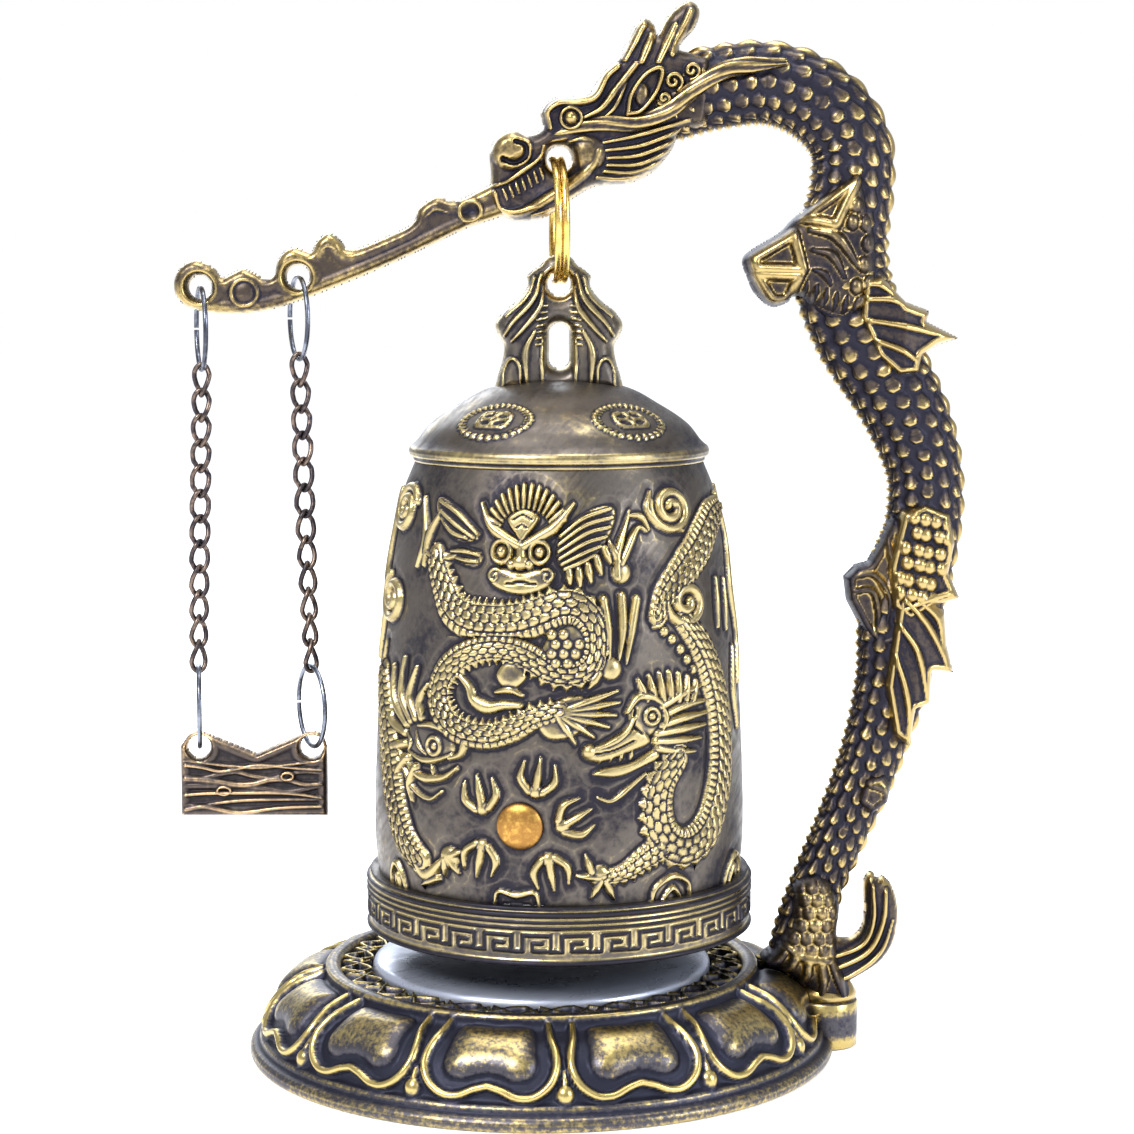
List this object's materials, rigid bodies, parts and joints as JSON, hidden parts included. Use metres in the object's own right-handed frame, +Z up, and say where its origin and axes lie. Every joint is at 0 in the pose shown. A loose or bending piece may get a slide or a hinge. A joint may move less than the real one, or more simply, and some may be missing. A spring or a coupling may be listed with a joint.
{
  "type": "temple bell",
  "caption": "Desk temple bell: a lotus base and cast dragon stand carry a bronze-look bell on a split ring, with a log striker hung on chains from the dragon's long lip.",
  "frame": {"origin": "on the table under the middle of the lotus base", "axes": "+Z up, +X towards the dragon's foot and spine, the stand lies in the plane y = 0, and -Y is the front with the bell's main relief"},
  "size_m": [0.1047, 0.0792, 0.1393],
  "materials": {
    "base_brass": "antique, blackened in the recesses and rubbed bright on the petals",
    "dragon_brass": "antique, blackened in the recesses and rubbed on the high scales",
    "bell_brass": "antique pewter-brown ground with pale gold relief, brushed",
    "striker_brass": "antique, dark with coppery grain",
    "ring_brass": "bright drawn wire",
    "ring_steel": "blued drawn wire",
    "chain_steel": "dark bronzed wire",
    "screw_steel": "plain zinc-plated"
  },
  "bodies": {
    "stand": {"lotus_base": "base_brass", "dragon_stand": "dragon_brass", "foot_screw": "screw_steel"},
    "bell_ring": {"bell_ring": "ring_brass"},
    "bell": {"bell": "bell_brass"},
    "left_upper_ring": {"left_upper_ring": "ring_steel"},
    "right_upper_ring": {"right_upper_ring": "ring_steel"},
    "left_chain": {"left_link_01": "chain_steel", "left_link_02": "chain_steel", "left_link_03": "chain_steel", "left_link_04": "chain_steel", "left_link_05": "chain_steel", "left_link_06": "chain_steel", "left_link_07": "chain_steel", "left_link_08": "chain_steel", "left_link_09": "chain_steel", "left_link_10": "chain_steel", "left_link_11": "chain_steel", "left_link_12": "chain_steel"},
    "right_chain": {"right_link_01": "chain_steel", "right_link_02": "chain_steel", "right_link_03": "chain_steel", "right_link_04": "chain_steel", "right_link_05": "chain_steel", "right_link_06": "chain_steel", "right_link_07": "chain_steel", "right_link_08": "chain_steel", "right_link_09": "chain_steel", "right_link_10": "chain_steel", "right_link_11": "chain_steel", "right_link_12": "chain_steel"},
    "left_lower_ring": {"left_lower_ring": "ring_steel"},
    "right_lower_ring": {"right_lower_ring": "ring_steel"},
    "striker": {"striker": "striker_brass"}
  },
  "joints": [
    {"name": "ring_swing", "type": "hinge", "parent": "stand", "child": "bell_ring", "pos_m": [0.0024, 0, 0.1197], "axis": [0, -1, 0], "range_deg": [-1, 2]},
    {"name": "bell_nod", "type": "hinge", "parent": "bell_ring", "child": "bell", "pos_m": [0.0024, 0, 0.1037], "axis": [1, 0, 0], "range_deg": [-9, 9]},
    {"name": "striker_fore_aft", "type": "hinge", "parent": "stand", "child": "left_upper_ring", "pos_m": [-0.0452, 0, 0.1029], "axis": [1, 0, 0], "range_deg": [-13, 13]},
    {"name": "right_ring_fore_aft", "type": "hinge", "parent": "stand", "child": "right_upper_ring", "pos_m": [-0.0322, 0, 0.1043], "axis": [1, 0, 0], "range_deg": [-13, 13]},
    {"name": "striker_swing", "type": "hinge", "parent": "left_upper_ring", "child": "left_chain", "pos_m": [-0.0452, 0, 0.09196], "axis": [0, -1, 0], "range_deg": [-14, 4]},
    {"name": "right_chain_swing", "type": "hinge", "parent": "right_upper_ring", "child": "right_chain", "pos_m": [-0.0322, 0, 0.09336], "axis": [0, -1, 0], "range_deg": [-14, 4]},
    {"name": "left_ring_level", "type": "hinge", "parent": "left_chain", "child": "left_lower_ring", "pos_m": [-0.0462, 0, 0.05214], "axis": [0, -1, 0], "range_deg": [-4, 14]},
    {"name": "right_ring_level", "type": "hinge", "parent": "right_chain", "child": "right_lower_ring", "pos_m": [-0.031, 0, 0.05214], "axis": [0, -1, 0], "range_deg": [-4, 14]},
    {"name": "striker_tilt", "type": "hinge", "parent": "left_lower_ring", "child": "striker", "pos_m": [-0.0462, 0, 0.0412], "axis": [1, 0, 0], "range_deg": [-13, 13]}
  ],
  "couplings": [
    {"joint": "right_ring_fore_aft", "follows": "striker_fore_aft", "ratio": 1},
    {"joint": "right_chain_swing", "follows": "striker_swing", "ratio": 1},
    {"joint": "left_ring_level", "follows": "striker_swing", "ratio": -1},
    {"joint": "right_ring_level", "follows": "striker_swing", "ratio": -1}
  ]
}
